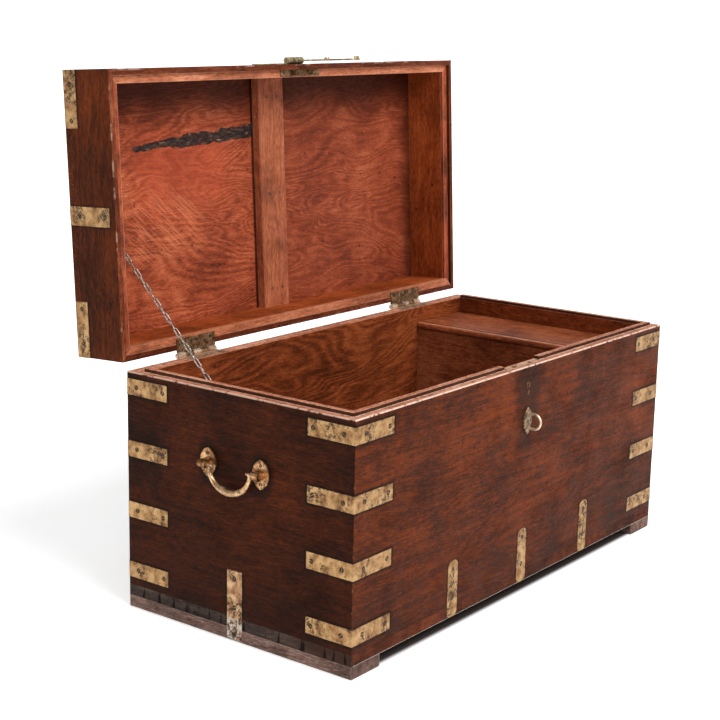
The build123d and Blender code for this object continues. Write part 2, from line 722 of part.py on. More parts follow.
hasp_tip = staple_z - hasp_slot_height / 2 - hasp_tail
with BuildPart() as hasp_strap:
    hang = hasp_z - hasp_knuckle_radius - 0.8 - hasp_tip
    outer = -hasp_y - half_depth - hasp_thickness / 2
    with BuildSketch(front_face(0, hasp_tip + hang / 2, outer)) as outline:
        Rectangle(hasp_width, hang)
        fillet(outline.vertices().group_by(Axis.Z)[0], hasp_width * 0.4)
        with Locations((0, staple_z - hasp_tip - hang / 2)):
            SlotOverall(hasp_slot_height, hasp_slot_width, rotation=90, mode=Mode.SUBTRACT)
    extrude(amount=hasp_thickness)
    with BuildSketch(front_face(0, hasp_z - hasp_knuckle_radius / 2 - 1, outer)):
        Rectangle(step - 0.6, hasp_knuckle_radius + 2)
    extrude(amount=hasp_thickness)
    with BuildSketch(Plane(origin=(0, hasp_y, hasp_z), z_dir=(1, 0, 0))):
        Circle(hasp_knuckle_radius)
    extrude(amount=(step - 0.6) / 2, both=True)
    with BuildSketch(Plane(origin=(0, hasp_y, hasp_z), z_dir=(1, 0, 0))):
        Circle(hinge_pin_radius + pin_clearance)
    extrude(amount=hasp_barrel_length, both=True, mode=Mode.SUBTRACT)
    with BuildSketch(front_face(0, hasp_tip + 2.5, outer + hasp_thickness - 0.5)):
        SlotOverall(12, 5)
    extrude(amount=4.5)
    with BuildSketch(front_face(0, hasp_knob_z, outer + hasp_thickness - 0.5)):
        Circle(5)
    extrude(amount=3.5, taper=20)

# ------------------------------------------------------------------ lid of boards
lid_metal = [lid_corner_straps.part, lid_side_straps.part, lid_strap_screws.part, lid_hardware_screws.part]


def lid_board(side):
    """One mitred wall of the lid, rebated along its rim for a lining strip."""
    with BuildPart() as board:
        with BuildSketch(Plane.XY.offset(lid_rim_z)):
            Polygon(*mitred_plan(side, 0, lid_wall), align=None)
        extrude(amount=lid_board_z - lid_rim_z)
        with BuildSketch(Plane.XY.offset(lid_rim_z)):
            Polygon(*mitred_plan(side, lid_lip, lining_width), align=None)
        extrude(amount=lining_top_z - lid_rim_z, mode=Mode.SUBTRACT)
        add(lid_metal + [lid_hinge_leaves.part, lid_chain_eye.part], mode=Mode.SUBTRACT)
    return board


lid_boards = {f"lid_{side}_board": lid_board(side) for side in ("front", "back", "left", "right")}

lid_linings = {}
for side in ("front", "back", "left", "right"):
    recess = back_lining_recess if side == "back" else lining_recess
    with BuildPart() as strip:
        with BuildSketch(Plane.XY.offset(lid_rim_z + recess)):
            Polygon(*mitred_plan(side, lid_lip, lining_width), align=None)
        extrude(amount=lining_top_z - lid_rim_z - recess)
        add([lid_hardware_screws.part, lid_chain_eye.part], mode=Mode.SUBTRACT)
    lid_linings[f"lid_lining_{side}"] = strip

with BuildPart() as lid_top_board:
    with BuildSketch(Plane.XY.offset(lid_board_z)):
        Rectangle(case_length, case_depth)
    extrude(amount=lid_top_thickness)
    add(lid_metal, mode=Mode.SUBTRACT)

with BuildPart() as lid_batten:
    with BuildSketch(Plane.XY.offset(lid_board_z - batten_thickness)):
        Rectangle(batten_width, 2 * lid_inner_y)
    extrude(amount=batten_thickness)
    chamfer(lid_batten.edges().filter_by(Axis.Y).group_by(Axis.Z)[0], 2.5)
    add(lid_hardware_screws.part, mode=Mode.SUBTRACT)

# ------------------------------------------------------------------ write every sub-part
carcass_nodes = {
    "front_board": front_board, "back_board": back_board,
    "left_end_board": left_end_board, "right_end_board": right_end_board,
    **bottom_boards, **skids, "rim_lip_front": rim_lip_front, **rim_lips,
    **corner_straps, **long_base_straps, **end_base_straps,
    "carcass_strap_screws": carcass_strap_screws, "carcass_hardware_screws": carcass_hardware_screws,
    "left_handle_plates": left_handle_plates, "right_handle_plates": right_handle_plates,
    "left_handle_bail": left_handle_bail, "right_handle_bail": right_handle_bail,
    "lock_case": lock_case, "lock_rim_plate": lock_rim_plate, "lock_bolt": lock_bolt,
    "keyhole_escutcheon": keyhole_escutcheon,
    "staple_plate": staple_plate, "staple_loop": staple_loop,
    "till_front_board": till_front_board, "till_bottom_board": till_bottom_board,
    "till_lid": till_lid, "till_pivots": till_pivots,
    "carcass_hinge_leaves": carcass_hinge_leaves, "hinge_pins": hinge_pins,
    "carcass_chain_eye": carcass_chain_eye, "stay_chain": stay_chain,
}
lid_nodes = {
    **lid_boards, "lid_top_board": lid_top_board, **lid_linings, "lid_batten": lid_batten,
    "lid_corner_straps": lid_corner_straps, "lid_side_straps": lid_side_straps,
    "lid_strap_screws": lid_strap_screws, "lid_hardware_screws": lid_hardware_screws,
    "lid_hinge_leaves": lid_hinge_leaves, "link_plate": link_plate, "hasp_leaf": hasp_leaf,
    "hasp_pin": hasp_pin, "hasp_strap": hasp_strap, "lid_chain_eye": lid_chain_eye,
}
for name, node in lid_nodes.items():
    node.part = node.part.rotate(lid_axis, -lid_open_angle)
for name, node in {**carcass_nodes, **lid_nodes}.items():
    node.part.label = name
    export_step(node.part, f"parts/{name}.step")

print(f"{len(carcass_nodes) + len(lid_nodes)} nodes, {link_count} links of {link_pitch:.2f} mm pitch")
print(f"hinge pins y {hinge_y:.2f} z {hinge_z:.2f}")
opened_hasp = Vertex(0, hasp_y, hasp_z).rotate(lid_axis, -lid_open_angle).center()
print(f"hasp pin, lid open: y {opened_hasp.Y:.3f} z {opened_hasp.Z:.3f}")
print(f"till pivots x {till_pivot.X:.2f} z {till_pivot.Z:.2f}")
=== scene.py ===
"""Looks of an old brass-bound footlocker with its lid open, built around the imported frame."""

import math
import random

import bmesh
import bpy
from mathutils import Matrix, Vector


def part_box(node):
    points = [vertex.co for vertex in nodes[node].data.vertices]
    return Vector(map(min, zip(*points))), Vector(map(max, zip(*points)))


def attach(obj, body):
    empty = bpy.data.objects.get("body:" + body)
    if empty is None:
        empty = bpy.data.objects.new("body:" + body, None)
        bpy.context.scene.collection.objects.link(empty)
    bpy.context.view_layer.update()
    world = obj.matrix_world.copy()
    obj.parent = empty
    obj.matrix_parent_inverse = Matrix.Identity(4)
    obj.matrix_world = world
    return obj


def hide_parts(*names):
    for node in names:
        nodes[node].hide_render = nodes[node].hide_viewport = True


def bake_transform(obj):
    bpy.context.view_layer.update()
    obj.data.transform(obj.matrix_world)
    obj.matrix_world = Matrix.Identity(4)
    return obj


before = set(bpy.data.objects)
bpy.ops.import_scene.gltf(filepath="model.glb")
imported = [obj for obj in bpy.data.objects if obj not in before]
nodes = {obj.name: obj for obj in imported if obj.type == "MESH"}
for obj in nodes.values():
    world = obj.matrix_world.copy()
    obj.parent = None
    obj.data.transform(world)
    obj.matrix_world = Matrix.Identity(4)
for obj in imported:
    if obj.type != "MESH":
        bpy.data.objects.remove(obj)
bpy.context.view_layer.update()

# Places on the timber that the finishes follow, in metres, with the case shut
board_low, board_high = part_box("front_board")
HALF_LENGTH, HALF_DEPTH, RIM_Z = board_high.x, -board_low.y, board_high.z
SKID_TOP_Z, PLANK_TOP_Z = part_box("bottom_board_front")[0].z, board_low.z
WALL, LID_WALL = 0.024, 0.022
LID_GAP, LID_TOP_Z = 0.0005, 0.4895
HINGE_Y, HINGE_Z, LID_OPEN = 0.2346, 0.3896, math.radians(93)
LIP_FOOT = 0.0126  # from the outer face to the foot of the raised lip
BATTEN_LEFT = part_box("lid_batten")[0].x
TILL_NOSE, TILL_NOSING, TILL_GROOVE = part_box("till_lid")[0].x, 0.006, 0.014
POCKET_LEFT, POCKET_RIGHT, POCKET_Y, POCKET_SLOPE = -0.335, -0.020, -0.1145, -0.055

# Brass on the timber
STRAP_PITCH, STRAP_FIRST, STRAP_HALF = 0.100, 0.064, 0.013
FRONT_ARM, END_ARM = 0.091, 0.086
LID_STRAP_Z, LID_SIDE_HALF, LID_SIDE_FOOT = 0.475, 0.0135, 0.4015
BASE_STRAP_TOP, BASE_STRAP_HALF, BASE_STRAP_PITCH = 0.107, 0.0125, 0.202
END_STRAP_HALF = 0.015
HANDLE_HALF_SPAN, HANDLE_Z = 0.0525, 0.275
NO_METAL = 1.0  # added to a distance where no strap runs


# ------------------------------------------------------------------ shader helper
def srgb(red, green, blue):
    """A linear colour from 0-255 display values."""
    def linear(v):
        v /= 255
        return v / 12.92 if v <= 0.04045 else ((v + 0.055) / 1.055) ** 2.4
    return (linear(red), linear(green), linear(blue), 1.0)


class Shader:
    """A material's node tree, with short calls for the nodes that the finishes use."""

    def __init__(self, name):
        self.material = bpy.data.materials.new(name)
        self.material.use_nodes = True
        tree = self.material.node_tree
        tree.nodes.clear()
        self.nodes, self.links = tree.nodes, tree.links
        out = self.nodes.new("ShaderNodeOutputMaterial")
        self.bsdf = self.nodes.new("ShaderNodeBsdfPrincipled")
        self.links.new(self.bsdf.outputs[0], out.inputs[0])
        self.point = self.nodes.new("ShaderNodeTexCoord").outputs["Object"]
        self.normal = self.nodes.new("ShaderNodeNewGeometry").outputs["Normal"]

    def put(self, value, socket):
        if isinstance(value, bpy.types.NodeSocket):
            self.links.new(value, socket)
        elif value is not None:
            socket.default_value = value

    def set(self, **values):
        """Values or links for the Principled shader's sockets, written with underscores."""
        for name, value in values.items():
            self.put(value, self.bsdf.inputs[name.replace("_", " ").title().replace("Ior", "IOR")])

    def math(self, operation, *values, clamp=False):
        node = self.nodes.new("ShaderNodeMath")
        node.operation, node.use_clamp = operation, clamp
        for socket, value in zip(node.inputs, values):
            self.put(value, socket)
        return node.outputs[0]

    def add(self, *values):
        total = values[0]
        for value in values[1:]:
            total = self.math("ADD", total, value)
        return total

    def times(self, *values):
        total = values[0]
        for value in values[1:]:
            total = self.math("MULTIPLY", total, value)
        return total

    def minus(self, a, b):
        return self.math("SUBTRACT", a, b)

    def size(self, value):
        return self.math("ABSOLUTE", value)

    def largest(self, a, b):
        return self.math("MAXIMUM", a, b)

    def smallest(self, a, b):
        return self.math("MINIMUM", a, b)

    def hypotenuse(self, a, b):
        return self.math("SQRT", self.add(self.times(a, a), self.times(b, b)))

    def swing(self, noise, reach):
        """A 0-1 noise turned into one that swings about zero."""
        return self.times(self.minus(noise, 0.5), reach)

    def near(self, value, centre, far, close):
        """1 within close of the centre, falling to 0 at far from it."""
        return self.step(self.size(self.minus(value, centre)), far, close)

    def step(self, value, low, high, to_low=0.0, to_high=1.0):
        """Smooth step of value from low to high."""
        node = self.nodes.new("ShaderNodeMapRange")
        node.interpolation_type = "SMOOTHSTEP"
        for socket, v in zip(node.inputs, (value, low, high, to_low, to_high)):
            self.put(v, socket)
        return node.outputs[0]

    def split(self, vector):
        node = self.nodes.new("ShaderNodeSeparateXYZ")
        self.put(vector, node.inputs[0])
        return node.outputs

    def place(self, vector, scale=(1, 1, 1), move=(0, 0, 0), turn=(0, 0, 0)):
        node = self.nodes.new("ShaderNodeMapping")
        self.put(vector, node.inputs["Vector"])
        node.inputs["Scale"].default_value = scale
        node.inputs["Location"].default_value = move
        node.inputs["Rotation"].default_value = turn
        return node.outputs[0]

    def noise(self, vector, scale, detail=3.0, rough=0.5, distortion=0.0, colour=False):
        node = self.nodes.new("ShaderNodeTexNoise")
        self.put(vector, node.inputs["Vector"])
        for name, v in (("Scale", scale), ("Detail", detail), ("Roughness", rough),
                        ("Distortion", distortion)):
            self.put(v, node.inputs[name])
        return node.outputs["Color" if colour else "Fac"]

    def cells(self, vector, scale, feature="F1"):
        node = self.nodes.new("ShaderNodeTexVoronoi")
        node.feature = feature
        self.put(vector, node.inputs["Vector"])
        node.inputs["Scale"].default_value = scale
        return node.outputs["Distance"]

    def ramp(self, value, stops):
        node = self.nodes.new("ShaderNodeValToRGB")
        self.put(value, node.inputs[0])
        elements = node.color_ramp.elements
        while len(elements) < len(stops):
            elements.new(0.5)
        for element, (place, colour) in zip(elements, stops):
            element.position, element.color = place, colour
        return node.outputs[0]

    def mix(self, factor, a, b, blend="MIX"):
        node = self.nodes.new("ShaderNodeMix")
        node.data_type, node.blend_type, node.clamp_factor = "RGBA", blend, True
        self.put(factor, node.inputs["Factor"])
        colour_inputs = [s for s in node.inputs if s.type == "RGBA"]
        self.put(a, colour_inputs[0])
        self.put(b, colour_inputs[1])
        return next(s for s in node.outputs if s.type == "RGBA")

    def warp(self, vector, scale, amount, detail=2.0):
        """The vector moved about by noise, so that straight lines wander."""
        wobble = self.noise(vector, scale, detail, colour=True)
        node = self.nodes.new("ShaderNodeVectorMath")
        node.operation = "MULTIPLY_ADD"
        self.put(wobble, node.inputs[0])
        node.inputs[1].default_value = (amount,) * 3
        self.put(vector, node.inputs[2])
        return node.outputs[0]

    def edge(self, radius):
        """1 on an edge of the mesh, falling to 0 on its flats."""
        bevel = self.nodes.new("ShaderNodeBevel")
        bevel.samples = 4
        bevel.inputs["Radius"].default_value = radius
        dot = self.nodes.new("ShaderNodeVectorMath")
        dot.operation = "DOT_PRODUCT"
        self.put(bevel.outputs[0], dot.inputs[0])
        self.put(self.normal, dot.inputs[1])
        return self.step(dot.outputs["Value"], 0.995, 0.80)

    def bump(self, height, strength, distance=0.0005):
        node = self.nodes.new("ShaderNodeBump")
        node.inputs["Strength"].default_value = strength
        node.inputs["Distance"].default_value = distance
        self.put(height, node.inputs["Height"])
        self.put(node.outputs[0], self.bsdf.inputs["Normal"])


# ------------------------------------------------------------------ wood
PALETTES = {
    # darkest, dark, middle, light
    "case": (srgb(15, 7, 3), srgb(38, 15, 5), srgb(60, 24, 7), srgb(90, 39, 11)),
    "front": (srgb(28, 12, 5), srgb(60, 25, 8), srgb(90, 38, 11), srgb(124, 55, 16)),
    "lid": (srgb(20, 8, 3), srgb(52, 21, 6), srgb(82, 34, 8), srgb(112, 49, 13)),
    "inner": (srgb(50, 22, 10), srgb(92, 42, 19), srgb(128, 60, 30), srgb(162, 86, 47)),
    "wall": (srgb(62, 28, 12), srgb(116, 52, 23), srgb(154, 72, 34), srgb(186, 100, 55)),
    "panel": (srgb(66, 28, 17), srgb(122, 54, 33), srgb(158, 75, 47), srgb(194, 110, 74)),
    "lining": (srgb(84, 42, 26), srgb(146, 80, 52), srgb(184, 108, 74), srgb(216, 150, 114)),
    "till": (srgb(48, 22, 12), srgb(108, 52, 30), srgb(150, 80, 49), srgb(186, 114, 78)),
    "end_grain": (srgb(22, 17, 15), srgb(44, 35, 31), srgb(66, 52, 46), srgb(98, 80, 70)),
    "skid": (srgb(38, 27, 24), srgb(84, 62, 54), srgb(122, 96, 86), srgb(168, 140, 128)),
    "batten": (srgb(76, 34, 20), srgb(134, 68, 43), srgb(166, 92, 60), srgb(200, 126, 90)),
    "lip": (srgb(36, 16, 9), srgb(80, 36, 20), srgb(112, 54, 32), srgb(156, 96, 66)),
    "rim": (srgb(96, 52, 36), srgb(168, 100, 72), srgb(204, 138, 106), srgb(236, 190, 162)),
}


TINTS = {
    "metal stain": srgb(20, 12, 9),
    "hand dirt": srgb(26, 16, 11),
    "handle halo": srgb(18, 10, 7),
    "foot darkening": srgb(30, 16, 10),
    "dent": srgb(18, 10, 8),
    "rubbed edge": srgb(150, 98, 72),
    "rim arris wear and highlight": srgb(226, 194, 174),
    "panel red": srgb(178, 76, 50),
    "panel shade": srgb(96, 44, 29),
    "panel dirt and shadow": srgb(38, 16, 9),
    "scratch": srgb(222, 140, 100),
    "open joint": srgb(22, 10, 6),
    "lip dirt": srgb(112, 60, 40),
    "lip side": srgb(40, 20, 12),
    "lip arris wear and highlight": srgb(240, 220, 204),
    "groove": srgb(36, 16, 10),
    "nosing": srgb(214, 152, 118),
    "kept finish": srgb(56, 30, 18),
    "split": srgb(9, 7, 6),
    "plank dirt": srgb(26, 14, 9),
    "plank joint": srgb(14, 9, 7),
    "foot arris wear and highlight": srgb(226, 212, 202),
    "underside shade": srgb(44, 34, 28),
    "bare silver": srgb(198, 190, 178),
    "pit": srgb(44, 28, 18),
    "speck": srgb(70, 48, 28),
    "brass edge dirt": srgb(40, 28, 20),
    "shaded paper": srgb(58, 46, 42),
}


def wood_layer(s, point, along, palette, seed, figure=0.35, swirl=1.0):
    """One timber: its colour, and a height for its grain. The grain runs along the given axis."""
    dark_end, dark, middle, light = PALETTES[palette]
    rng = random.Random(seed)
    move = tuple(rng.uniform(-5, 5) for _ in range(3))

    def squeezed(share):
        scale = [1.0, 1.0, 1.0]
        scale[along] = share
        return tuple(scale)

    wandering = s.warp(s.place(point, move=move), 5.0, 0.035 * swirl)
    broad = s.noise(s.place(wandering, squeezed(0.22)), 8.0, 2.0, 0.5, 0.5 * swirl)
    rings = s.math("SINE", s.times(broad, 190.0))
    streak = s.noise(s.place(wandering, squeezed(0.07)), 150.0, 4.0, 0.6)
    fleck = s.noise(s.place(wandering, squeezed(0.17)), 520.0, 3.0, 0.62)
    fine = s.noise(s.place(wandering, squeezed(0.10)), 1500.0, 2.0, 0.6)
    blotch = s.noise(s.place(point, move=move), 7.5, 5.0, 0.62)
    pores = s.step(s.noise(s.place(wandering, squeezed(0.08)), 1300.0, 1.0), 0.58, 0.70)
    tone = s.add(
        s.swing(blotch, 0.85),
        s.swing(streak, 0.50),
        s.swing(fleck, 0.72),
        s.swing(fine, 0.45),
        s.times(rings, figure * 0.10),
        0.5,
    )
    colour = s.ramp(tone, [(0.12, dark_end), (0.38, dark), (0.58, middle), (0.86, light)])
    colour = s.mix(s.times(pores, 0.40), colour, dark_end)
    height = s.add(s.times(fleck, 0.6), s.times(streak, 0.3), s.times(rings, 0.06 * figure),
                   s.times(pores, -0.6))
    return colour, height


def closed_point(s, lid):
    """The surface point in the frame of the shut case."""
    if not lid:
        return s.point
    pivot = Vector((0, HINGE_Y, HINGE_Z))
    move = pivot - Matrix.Rotation(LID_OPEN, 3, "X") @ pivot
    return s.place(s.point, move=tuple(move), turn=(LID_OPEN, 0, 0))


def from_faces(s, x, y):
    """Depths of the surface point below the end face and below the front or back face."""
    return s.minus(HALF_LENGTH, s.size(x)), s.minus(HALF_DEPTH, s.size(y))


def beyond(s, value, limit):
    return s.largest(s.minus(value, limit), 0.0)


def metal_distance(s, x, y, z, lid):
    """Distance from the surface point to the nearest brass strap let into the outside."""
    in_from_end, in_from_front = from_faces(s, x, y)
    off_end_face = s.times(s.step(in_from_end, 0.001, 0.004), NO_METAL)
    past_arm = s.largest(s.minus(in_from_end, FRONT_ARM), s.minus(in_from_front, END_ARM))
    past_arm = s.largest(past_arm, 0.0)
    if lid:
        level = beyond(s, s.size(s.minus(z, LID_STRAP_Z)), STRAP_HALF)
        corner = s.hypotenuse(past_arm, level)
        corner = s.add(corner, s.step(z, LID_TOP_Z - 0.0014, LID_TOP_Z - 0.0004, to_high=NO_METAL))
        beside = beyond(s, s.size(y), LID_SIDE_HALF)
        below = s.largest(s.minus(LID_SIDE_FOOT, z), 0.0)
        return s.smallest(corner, s.add(s.hypotenuse(beside, below), off_end_face))
    wrapped = s.math("FLOORED_MODULO", s.minus(z, STRAP_FIRST - STRAP_PITCH / 2), STRAP_PITCH)
    level = beyond(s, s.size(s.minus(wrapped, STRAP_PITCH / 2)), STRAP_HALF)
    corner = s.hypotenuse(past_arm, level)
    above = beyond(s, z, BASE_STRAP_TOP)
    half_pitch = BASE_STRAP_PITCH / 2
    wrapped = s.math("FLOORED_MODULO", s.add(x, half_pitch), BASE_STRAP_PITCH)
    beside = beyond(s, s.size(s.minus(wrapped, half_pitch)), BASE_STRAP_HALF)
    past_last = s.step(s.size(x), 1.5 * BASE_STRAP_PITCH - 0.013, 1.5 * BASE_STRAP_PITCH + 0.007)
    base = s.hypotenuse(s.add(beside, s.times(past_last, NO_METAL)), above)
    beside_end = s.add(beyond(s, s.size(y), END_STRAP_HALF), off_end_face)
    return s.smallest(corner, s.smallest(base, s.hypotenuse(beside_end, above)))


def staple_stain(s, colour, x, z, grime):
    """The dark column of handling dirt on the front board, from its rim past keyhole and staple."""
    half_width = s.step(z, 0.24, 0.40, 0.024, 0.036)
    off = s.size(s.add(x, s.swing(grime, 0.07)))
    column = s.times(s.step(s.math("DIVIDE", off, half_width), 1.6, 0.5), s.step(z, 0.215, 0.27))
    return s.mix(s.times(column, 0.62), colour, TINTS["hand dirt"])


def handle_stain(s, colour, y, z, grime):
    """The dark polish-and-dirt halo round each plate of an end handle."""
    side = s.times(s.minus(s.size(y), HANDLE_HALF_SPAN), 1.3)
    drop = s.times(s.minus(z, HANDLE_Z), 0.85)
    halo = s.step(s.add(s.hypotenuse(side, drop), s.times(grime, 0.012)), 0.043, 0.026)
    return s.mix(s.times(halo, 0.75), colour, TINTS["handle halo"])


def resin_pocket(s, colour, x, y, point):
    """A torn black pocket across the lid panel: a wavy band that tapers to the left."""
    wave = s.swing(s.noise(point, 30.0, 5.0, 0.75), 0.022)
    middle = s.add(s.times(x, POCKET_SLOPE), wave, POCKET_Y)
    half = s.step(x, POCKET_LEFT, -0.16, 0.0045, 0.0105)
    off = s.math("DIVIDE", s.size(s.minus(y, middle)), half)
    span = s.times(s.step(x, POCKET_LEFT, POCKET_LEFT + 0.013),
                   s.step(x, POCKET_RIGHT, POCKET_RIGHT - 0.014))
    ragged = s.noise(s.place(point, scale=(0.3, 1, 1)), 330.0, 3.0, 0.7)
    off = s.add(off, s.swing(ragged, 0.9))
    pocket = s.times(s.step(off, 1.15, 0.90), span)
    crumbs = s.noise(s.place(point, scale=(0.32, 1, 1), move=(2, 0, 0)), 240.0, 5.0, 0.76)
    torn = s.ramp(crumbs, [(0.40, srgb(22, 21, 21)), (0.55, srgb(46, 43, 41)),
                           (0.63, srgb(92, 74, 60)), (0.71, srgb(204, 164, 126))])
    return s.mix(s.times(pocket, 0.95), colour, torn)


def panel_marks(s, colour, x, y, point):
    """The lid panel: dirt and painted shade in its corners, a painted shadow along its front wall, a
    redder middle, pale scratches and a resin pocket.
    """
    from_end = s.minus(HALF_LENGTH - LID_WALL, s.size(x))
    from_front = s.add(y, HALF_DEPTH - LID_WALL)
    grime = s.noise(point, 16.0, 4.0, 0.6)
    red = s.add(s.near(x, -0.21, 0.20, 0.04), s.times(grime, 0.8), -0.75)
    red = s.times(s.step(red, 0.0, 0.6), s.near(y, -0.045, 0.11, 0.02))
    colour = s.mix(s.times(red, 0.38), colour, TINTS["panel red"])
    right_half = s.step(x, -0.02, 0.05)
    colour = s.mix(s.times(right_half, 0.30), colour, TINTS["panel shade"])
    # a hatch of fine slanting scratches, pale against the red
    slanted = s.place(s.place(point, turn=(0, 0, math.radians(-38))), scale=(0.06, 1, 1))
    hatch = s.times(s.step(s.noise(slanted, 420.0, 3.0, 0.6), 0.50, 0.62),
                    s.near(x, -0.27, 0.15, 0.03), s.near(y, 0.035, 0.09, 0.02))
    colour = s.mix(s.times(hatch, 0.36), colour, TINTS["scratch"])
    # painted shade with some dirt: darker towards the lid's end walls, and a dark band along its front
    # wall that is mostly a painted shadow
    end_dirt_and_shade = s.times(s.step(s.add(from_end, s.times(grime, 0.03)), 0.06, 0.02), 0.7)
    front_shadow_and_dirt = s.step(s.add(from_front, s.times(grime, 0.04)), 0.11, 0.035)
    colour = s.mix(s.times(s.largest(end_dirt_and_shade, front_shadow_and_dirt), 0.84), colour, TINTS["panel dirt and shadow"])
    # the open joint beside the batten
    gap = s.near(x, BATTEN_LEFT - 0.003, 0.0040, 0.0022)
    colour = s.mix(s.times(gap, 0.85), colour, TINTS["open joint"])
    return resin_pocket(s, colour, x, y, point)


def board_rim(s, colour, x, y, z, point, along, lid, bright, seed, grime, chips):
    """A board's bare rim, with a pale arris outside and, on the case, at the raised lip's foot; the pale
    arrises are partly worn and partly painted highlight.
    """
    bare, _ = wood_layer(s, point, along, "lip" if lid else "rim", seed, 0.2, 0.6)
    if lid:
        facing = s.step(z, RIM_Z + LID_GAP + 0.0005, RIM_Z + LID_GAP + 0.0002)
    else:
        facing = s.step(z, RIM_Z - 0.0008, RIM_Z - 0.0003)
    dirty = s.step(chips, 0.50, 0.62)
    colour = s.mix(s.times(facing, s.step(dirty, 0.0, 1.0, 0.95, 0.45)), colour, bare)
    outer = s.smallest(*from_faces(s, x, y))
    # pale arrises at the outer edge and at the lip's foot: partly worn, partly painted highlight
    pale = s.times(s.step(outer, 0.0030, 0.0016), s.near(z, RIM_Z, 0.0026, 0.0014))
    if lid:
        pale = s.times(pale, s.step(grime, 0.54, 0.64, 0.0, 0.55))
    else:
        pale = s.largest(pale, s.times(s.near(outer, LIP_FOOT, 0.0016, 0.0007), facing))
        pale = s.times(pale, s.step(chips, 0.66, 0.52))
    return s.mix(s.times(pale, 0.85 if bright else 0.5), colour, TINTS["rim arris wear and highlight"])


def board(name, along, outside, inside, lid=False, seed=1, figure=0.35, swirl=1.0):
    """Timber that is finished and dirty outside, bare inside and rubbed pale along its rim, with painted
    highlight on the pale arrises.
    """
    s = Shader(name)
    point = closed_point(s, lid)
    x, y, z = s.split(point)
    out_colour, out_height = wood_layer(s, point, along, outside, seed, figure, swirl)
    in_colour, in_height = wood_layer(s, point, along, inside, seed + 50, figure, swirl)
    wall = LID_WALL if lid else WALL
    into_wall = s.largest(s.minus(s.size(x), HALF_LENGTH - wall), s.minus(s.size(y), HALF_DEPTH - wall))
    is_inside = s.step(into_wall, 0.006, 0.003)
    if lid:
        is_inside = s.times(is_inside, s.step(z, LID_TOP_Z - 0.0035, LID_TOP_Z - 0.0065))
    grime = s.noise(point, 22.0, 5.0, 0.65)
    # dark stain that creeps into the wood round the metal, and darkening towards the foot
    near_metal = s.step(s.minus(metal_distance(s, x, y, z, lid), s.times(grime, 0.008)), 0.0030, -0.0035)
    colour = s.mix(s.times(near_metal, 0.85), out_colour, TINTS["metal stain"])
    stain = s.step(s.noise(s.place(point, move=(3, 1, 2)), 9.0, 4.0, 0.62), 0.48, 0.68)
    colour = s.mix(s.times(stain, 0.26), colour, PALETTES[outside][0])
    if not lid:
        foot = s.step(s.add(z, s.times(grime, 0.10)), 0.24, 0.05)
        colour = s.mix(s.times(foot, 0.42), colour, TINTS["foot darkening"])
    if outside == "front":
        colour = staple_stain(s, colour, x, z, grime)
    if outside == "case" and along == 1:
        colour = handle_stain(s, colour, y, z, grime)
    if inside == "panel":
        in_colour = panel_marks(s, in_colour, x, y, point)
    colour = s.mix(is_inside, colour, in_colour)
    scuff = s.step(s.noise(s.warp(point, 9.0, 0.05), 60.0, 4.0, 0.7), 0.64, 0.74)
    colour = s.mix(s.times(scuff, 0.25), colour, PALETTES[outside][3])
    dent = s.step(s.cells(s.warp(point, 30.0, 0.01), 26.0), 0.10, 0.04)
    colour = s.mix(s.times(dent, 0.55), colour, TINTS["dent"])
    chips = s.noise(s.place(point, move=(4, 4, 4)), 130.0, 3.0, 0.7)
    colour = board_rim(s, colour, x, y, z, point, along, lid, outside == "front", seed + 90, grime, chips)
    above_planks = s.step(z, PLANK_TOP_Z + 0.002, PLANK_TOP_Z + 0.007)
    rubbed = s.times(s.edge(0.0024), s.step(chips, 0.55, 0.66), above_planks)
    colour = s.mix(s.times(rubbed, 0.5), colour, TINTS["rubbed edge"])
    s.bump(s.add(s.mix(is_inside, out_height, in_height), s.times(dent, -1.2)), 0.5)
    roughness = s.step(s.add(grime, s.times(stain, 0.2)), 0.3, 0.9, 0.36, 0.62)
    s.set(base_color=colour, roughness=roughness, specular_ior_level=0.04)
    return s.material


def lip_wood(name, along, seed):
    """The raised lip round the rim: a bare, rubbed top over dark sides, its arrises pale from wear and
    painted highlight.
    """
    s = Shader(name)
    colour, height = wood_layer(s, s.point, along, "rim", seed)
    chips = s.noise(s.point, 130.0, 3.0, 0.7)
    colour = s.mix(s.step(chips, 0.46, 0.60, 0.0, 0.5), colour, TINTS["lip dirt"])
    flat = s.step(s.size(s.split(s.normal)[2]), 0.5, 0.8)
    colour = s.mix(s.times(s.minus(1.0, flat), 0.92), colour, TINTS["lip side"])
    # pale arrises on the lip's top: partly worn, partly painted highlight
    rubbed = s.times(s.edge(0.0014), flat, s.step(chips, 0.62, 0.46))
    colour = s.mix(s.times(rubbed, 0.85), colour, TINTS["lip arris wear and highlight"])
    s.bump(height, 0.5)
    s.set(base_color=colour, roughness=s.step(chips, 0.3, 0.8, 0.45, 0.65), specular_ior_level=0.06)
    return s.material


def till_wood():
    """The till's timber, with a painted highlight along the nosing, partly rubbed wear, and a painted
    shadow line in the groove behind it on the lid.
    """
    s = Shader("till_timber")
    colour, height = wood_layer(s, s.point, 1, "till", 18)
    grime = s.noise(s.point, 26.0, 5.0, 0.65)
    from_nose = s.minus(s.split(s.point)[0], TILL_NOSE)
    flat = s.step(s.split(s.normal)[2], 0.35, 0.8)
    # painted shade: a dark line along the groove behind the nosing
    groove = s.times(s.near(from_nose, TILL_GROOVE, 0.0022, 0.0008), flat)
    colour = s.mix(s.times(groove, 0.8), colour, TINTS["groove"])
    # painted highlight along the top of the nosing, partly rubbed wear
    nosing = s.times(s.near(from_nose, TILL_NOSING, 0.005, 0.001), s.step(grime, 0.30, 0.55), flat)
    colour = s.mix(s.times(nosing, 0.5), colour, TINTS["nosing"])
    s.bump(height, 0.5)
    s.set(base_color=colour, roughness=s.step(grime, 0.3, 0.8, 0.28, 0.45), specular_ior_level=0.12)
    return s.material


